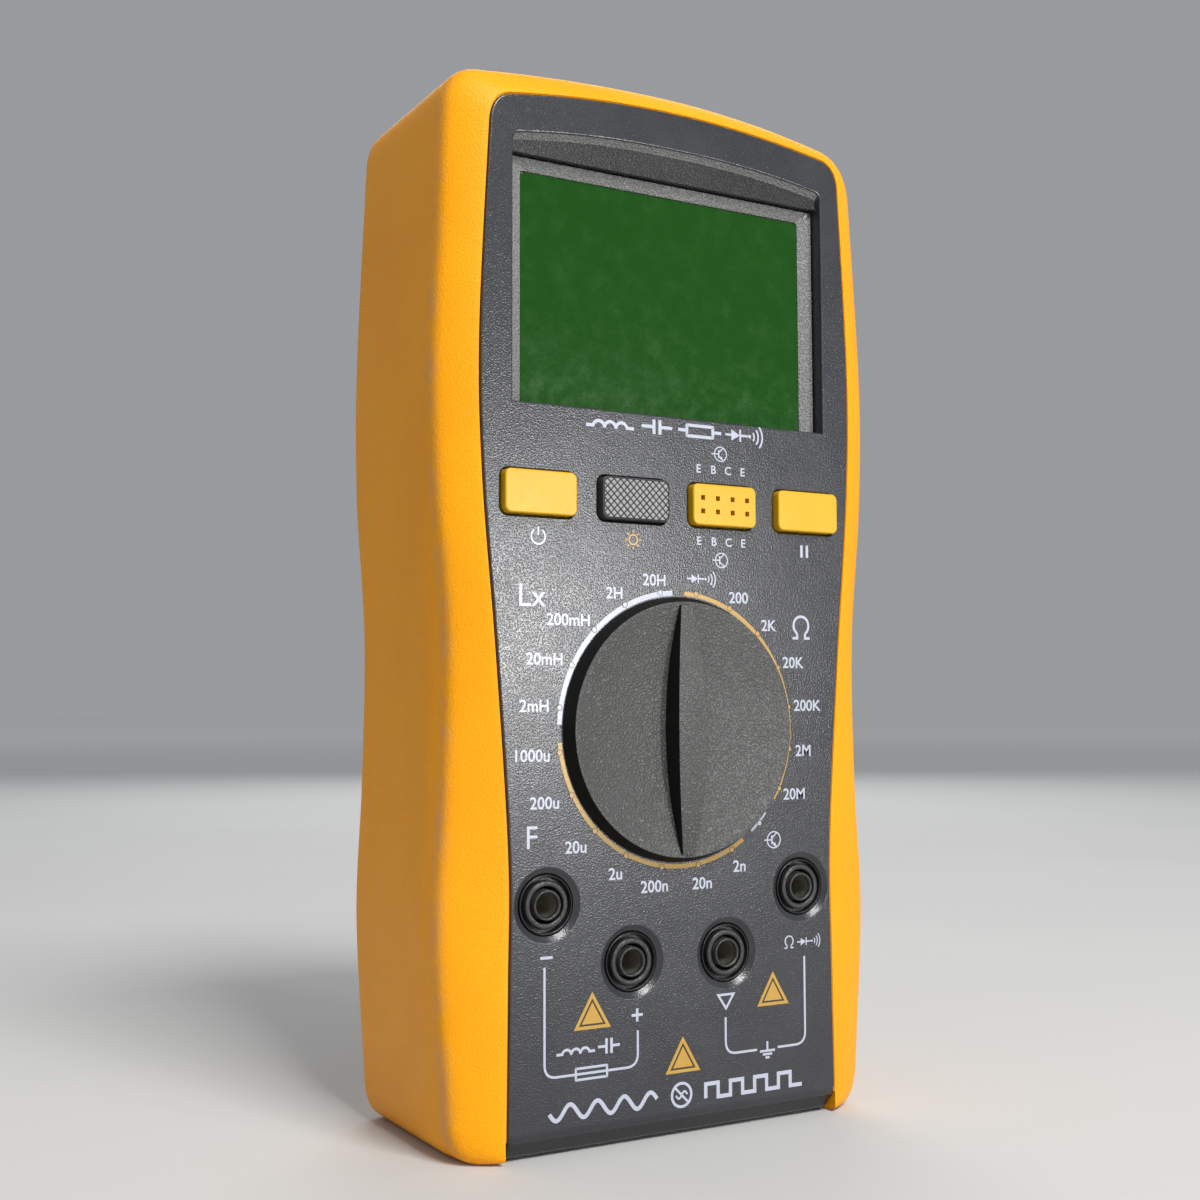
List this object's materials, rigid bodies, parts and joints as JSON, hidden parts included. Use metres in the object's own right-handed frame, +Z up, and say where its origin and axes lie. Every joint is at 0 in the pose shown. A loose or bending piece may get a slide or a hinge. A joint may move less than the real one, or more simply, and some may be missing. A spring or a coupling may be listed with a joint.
{
  "type": "lcr meter",
  "caption": "Hand-held meter in a rubber boot, with a display, push keys, a rotary range switch, plug jacks, a tilt stand and a battery door.",
  "frame": {"origin": "centre of the overall box's base: the meter stands on its lower end at z = 0", "axes": "+Z up along the meter's length, +X to the right of a person reading it, +Y from the front panel into its depth; the display faces -Y"},
  "size_m": [0.0942, 0.0472, 0.1925],
  "materials": {
    "boot_rubber": "soft orange-yellow rubber, fine moulded grain",
    "panel_plastic": "dark grey plastic with a fine orange-peel grain",
    "back_plastic": "dark grey plastic, matt",
    "knob_plastic": "dark grey plastic, coarse grain",
    "key_plastic": "warm yellow plastic, fine grain",
    "soft_key": "dark grey rubber with cross-hatch",
    "window_plastic": "green tinted window",
    "display_glass": "clear glass",
    "white_plastic": "white plastic",
    "black_rubber": "black rubber",
    "black_plastic": "black plastic",
    "jack_plastic": "black plastic, worn satin",
    "board_laminate": "green solder mask",
    "blue_plastic": "blue plastic",
    "brass_contact": "nickel-plated brass",
    "steel": "zinc-plated steel",
    "battery_jacket": "plain printed metal jacket",
    "red_insulation": "red lead insulation",
    "black_insulation": "black lead insulation"
  },
  "bodies": {
    "case": {"holster": "boot_rubber", "front_cover": "panel_plastic", "back_cover": "back_plastic", "display_bezel": "panel_plastic", "display_window": "window_plastic", "lcd_glass": "display_glass", "lcd_backlight": "white_plastic", "zebra_strip_lower": "black_rubber", "zebra_strip_upper": "black_rubber", "detent_ring": "black_plastic", "transistor_socket": "key_plastic", "power_switch": "black_plastic", "backlight_switch": "black_plastic", "hold_switch": "black_plastic", "circuit_board": "board_laminate", "main_chip": "black_plastic", "buzzer": "black_plastic", "trimmer": "blue_plastic", "fuse": "display_glass", "fuse_clip_left": "brass_contact", "fuse_clip_right": "brass_contact", "battery_9v": "battery_jacket", "battery_snap": "black_rubber", "battery_lead_red": "red_insulation", "battery_lead_black": "black_insulation", "jack_housing_1": "jack_plastic", "jack_housing_2": "jack_plastic", "jack_housing_3": "jack_plastic", "jack_housing_4": "jack_plastic", "jack_sleeve_1": "brass_contact", "jack_sleeve_2": "brass_contact", "jack_sleeve_3": "brass_contact", "jack_sleeve_4": "brass_contact", "case_screw_1": "steel", "case_screw_2": "steel", "case_screw_3": "steel", "case_screw_4": "steel", "board_screw_1": "steel", "board_screw_2": "steel", "board_screw_3": "steel", "board_screw_4": "steel"},
    "range_knob": {"selector_knob": "knob_plastic", "switch_rotor": "white_plastic", "wiper_contact_lower": "brass_contact", "wiper_contact_upper": "brass_contact", "detent_ball_left": "steel", "detent_ball_right": "steel", "detent_spring_left": "steel", "detent_spring_right": "steel"},
    "power_key": {"power_button": "key_plastic"},
    "backlight_key": {"backlight_button": "soft_key"},
    "hold_key": {"hold_button": "key_plastic"},
    "stand": {"tilt_stand": "back_plastic"},
    "battery_cover": {"battery_door": "back_plastic", "battery_door_screw": "steel"}
  },
  "joints": [
    {"name": "knob_turn", "type": "hinge", "parent": "case", "child": "range_knob", "pos_m": [0, -0.0186, 0.073], "axis": [0, 1, 0], "continuous": true},
    {"name": "power_press", "type": "slide", "parent": "case", "child": "power_key", "axis": [0, 1, 0], "range_m": [0, 0.0012], "stiffness_N_per_m": 500, "springref_m": -0.003},
    {"name": "backlight_press", "type": "slide", "parent": "case", "child": "backlight_key", "axis": [0, 1, 0], "range_m": [0, 0.0012], "stiffness_N_per_m": 500, "springref_m": -0.003},
    {"name": "hold_press", "type": "slide", "parent": "case", "child": "hold_key", "axis": [0, 1, 0], "range_m": [0, 0.0012], "stiffness_N_per_m": 500, "springref_m": -0.003},
    {"name": "stand_fold", "type": "hinge", "parent": "case", "child": "stand", "pos_m": [0, 0.022, 0.14], "axis": [1, 0, 0], "range_deg": [0, 45]},
    {"name": "battery_door_open", "type": "hinge", "parent": "case", "child": "battery_cover", "pos_m": [0, 0.0192, 0.016], "axis": [-1, 0, 0], "range_deg": [0, 75]}
  ]
}
